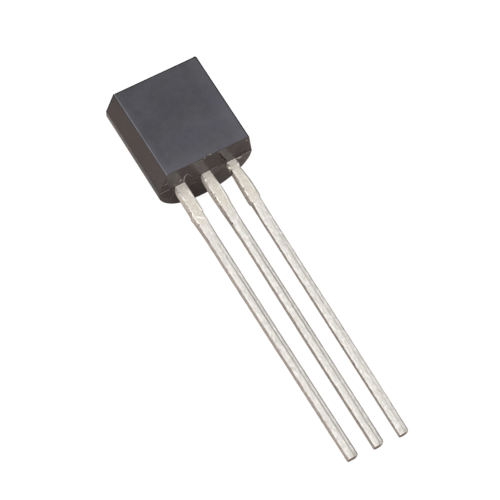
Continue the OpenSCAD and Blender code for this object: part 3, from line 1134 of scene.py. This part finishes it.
def finish_inner_pieces():
    """Finishes on the CAD pieces inside the case."""
    silicon = plain_metal("silicon_finish", (0.1, 0.11, 0.14), (0.16, 0.17, 0.21), rough=0.2, cells=5)
    attach = plain_metal("attach_finish", (0.42, 0.42, 0.4), (0.6, 0.6, 0.57), rough=0.5, cells=12)
    gold = plain_metal("gold_finish", (0.8, 0.55, 0.18), (0.9, 0.66, 0.26), rough=0.25, cells=20)
    finishes = {"transistor_die": silicon, "die_attach": attach,
                "emitter_bond_wire": gold, "base_bond_wire": gold}
    for name, finish in finishes.items():
        mesh = frame["nodes"][name].data
        mesh.materials.clear()
        mesh.materials.append(finish)


# Floor, light and camera

WHITE = (1, 1, 1, 1)
FLOOR_HALF = 3.0
# The floor as the camera sees it: its paint, its glow and the glow's share
FLOOR_PAINT = (0.95, 0.95, 0.95, 1)
FLOOR_GLOW = 1.05
FLOOR_GLOW_SHARE = 0.92
# The floor in reflections: a warm card, dark further out and shaded by the case
FLOOR_NEAR = (0.55, 0.485, 0.45)
FLOOR_NEAR_R = 12 * MM
FLOOR_FAR = (0.06, 0.055, 0.055)
FLOOR_FAR_R = 19 * MM
FLOOR_SHADE = (0.34, 0.285, 0.275)
FLOOR_SHADE_AT = Vector((-1.3, 5.0, 0)) * MM
FLOOR_SHADE_R = 1.1 * MM
FLOOR_SHADE_END_R = 2.2 * MM
FLOOR_ROUGH = 0.9
FLOOR_GLOSS = 0.1
# Each softbox: its place, its size across and its power
SOFTBOXES = {
    "key_softbox": ((-0.15, 0.1, 0.4), 0.7, 0.45),
    "front_softbox": ((-0.16, -0.4, 0.3), 0.4, 0.45),
}
# The dome of light: its colour, where it is brightest, and its brightness from the far side on
DOME_COLOUR = (1.0, 0.985, 0.965, 1)
DOME_WAY = Vector((-0.35, -0.55, 0.75)).normalized()
DOME_STOPS = ((-0.6, 0.1), (-0.1, 0.66), (0.55, 0.98))

# The photograph's view: what it looks at, from where, the camera's turn and its lens
VIEW_TARGET = Vector((-0.17319, 0.81968, 1.5)) * MM
VIEW_AZIMUTH = radians(-35.03)
VIEW_ELEVATION = radians(57.15)
VIEW_ROLL = radians(4.742)
VIEW_DISTANCE = 193.191 * MM
VIEW_LENS = 328.674
SENSOR = 36.0
CLIP_NEAR = 0.01
CLIP_FAR = 10


def camera_switch(tree, others, seen):
    """One shader for reflections and light, and another for the camera."""
    path = node(tree, "LightPath")
    inputs = [("Fac", path.outputs["Is Camera Ray"]), (1, others.outputs[0]), (2, seen.outputs[0])]
    return node(tree, "MixShader", inputs).outputs[0]


def floor_finish():
    """Near white to the camera, and a warm card to reflections."""
    material, tree, shader = new_material("pale_floor")
    place = node(tree, "TexCoord")
    reach = node(tree, "VectorMath", [(0, place.outputs["Object"])], operation="LENGTH")
    away = spread(tree, reach.outputs["Value"], FLOOR_NEAR_R, FLOOR_FAR_R, 0, 1)
    to_case = node(tree, "VectorMath", [(0, place.outputs["Object"]), (1, FLOOR_SHADE_AT)],
                   operation="DISTANCE")
    clear = spread(tree, to_case.outputs["Value"], FLOOR_SHADE_R, FLOOR_SHADE_END_R, 0, 1)
    card = blend_colour(tree, clear, FLOOR_SHADE, FLOOR_NEAR)
    feed(tree, shader, [("Base Color", blend_colour(tree, away, card, FLOOR_FAR)),
                        ("Roughness", FLOOR_ROUGH), ("Specular IOR Level", FLOOR_GLOSS)])
    paint = node(tree, "BsdfDiffuse", [("Color", FLOOR_PAINT)])
    glow = node(tree, "Emission", [("Color", WHITE), ("Strength", FLOOR_GLOW)])
    seen = node(tree, "MixShader", [("Fac", FLOOR_GLOW_SHARE), (1, paint.outputs[0]), (2, glow.outputs[0])])
    tree.links.new(camera_switch(tree, shader, seen), tree.nodes["Material Output"].inputs["Surface"])
    return material


def build_floor():
    """A wide pale floor under the part."""
    mesh = bpy.data.meshes.new("floor")
    corners = [(x * FLOOR_HALF, y * FLOOR_HALF, 0) for x, y in ((-1, -1), (1, -1), (1, 1), (-1, 1))]
    mesh.from_pydata(corners, [], [(0, 1, 2, 3)])
    mesh.materials.append(floor_finish())
    floor = add_object("floor", mesh)


def build_softboxes():
    """Square softboxes that face the middle of the part."""
    for name, (place, size, watts) in SOFTBOXES.items():
        light = bpy.data.lights.new(name, "AREA")
        light.size = size
        light.energy = watts
        softbox = add_object(name, light)
        softbox.location = place
        softbox.rotation_euler = (-Vector(place)).to_track_quat("-Z", "Y").to_euler()


def build_dome():
    """Light from all round, brightest above and near left, and white to the camera."""
    world = bpy.data.worlds.new("dome")
    world.use_nodes = True
    tree = world.node_tree
    way = node(tree, "TexCoord")
    facing = node(tree, "VectorMath", [(0, way.outputs["Generated"]), (1, DOME_WAY)], operation="DOT_PRODUCT")
    (low, dark), (middle, grey), (high, bright) = DOME_STOPS
    rise = spread(tree, facing.outputs["Value"], low, middle, dark, grey)
    gain = spread(tree, facing.outputs["Value"], middle, high, 0, bright - grey)
    dome = tree.nodes["Background"]
    feed(tree, dome, [("Strength", maths(tree, "ADD", rise, gain)), ("Color", DOME_COLOUR)])
    white = node(tree, "Background", [("Color", WHITE)])
    tree.links.new(camera_switch(tree, dome, white), tree.nodes["World Output"].inputs["Surface"])
    bpy.context.scene.world = world


def build_camera():
    """The photograph's view, from the front left and well above."""
    data = bpy.data.cameras.new("camera")
    data.lens = VIEW_LENS
    data.sensor_width = SENSOR
    data.clip_start = CLIP_NEAR
    data.clip_end = CLIP_FAR
    camera = add_object("camera", data)
    level = cos(VIEW_ELEVATION)
    back = Vector((sin(VIEW_AZIMUTH) * level, -cos(VIEW_AZIMUTH) * level, sin(VIEW_ELEVATION)))
    upright = (-back).to_track_quat("-Z", "Y").to_matrix().to_4x4()
    turned = upright @ Matrix.Rotation(VIEW_ROLL, 4, "Z")
    camera.matrix_world = Matrix.Translation(VIEW_TARGET + back * VIEW_DISTANCE) @ turned
    bpy.context.scene.camera = camera
    bpy.context.scene.view_settings.view_transform = "Standard"


build_camera()
build_floor()
build_softboxes()
build_dome()
build_case()
for lead_name in LEADS:
    build_lead(lead_name)
build_marks("mould_marks", RESIN_MARKS, RESIN_TRIM)
build_marks("faint_marks", FAINT_MARKS, CASE_FLASH)
# Dark lines on the resin, partly painted shadow, and painted shadow round the leads' roots
build_marks("dark_lines_and_painted_shadows", DARK_RESIN_LINES + root_painted_shadows(), DARK_RESIN_AND_SHADOW)
# Burrs and scratches of bright tin, and threads of painted highlight along the leads' edges
build_marks("lead_burrs_and_painted_highlights", LEAD_BURRS_AND_HIGHLIGHTS, BRIGHT_TIN_AND_HIGHLIGHT)
build_marks("lead_pits", LEAD_PITS, PITTED_TIN)
build_marks("lead_lumps", LEAD_LUMPS, TIN)
finish_inner_pieces()
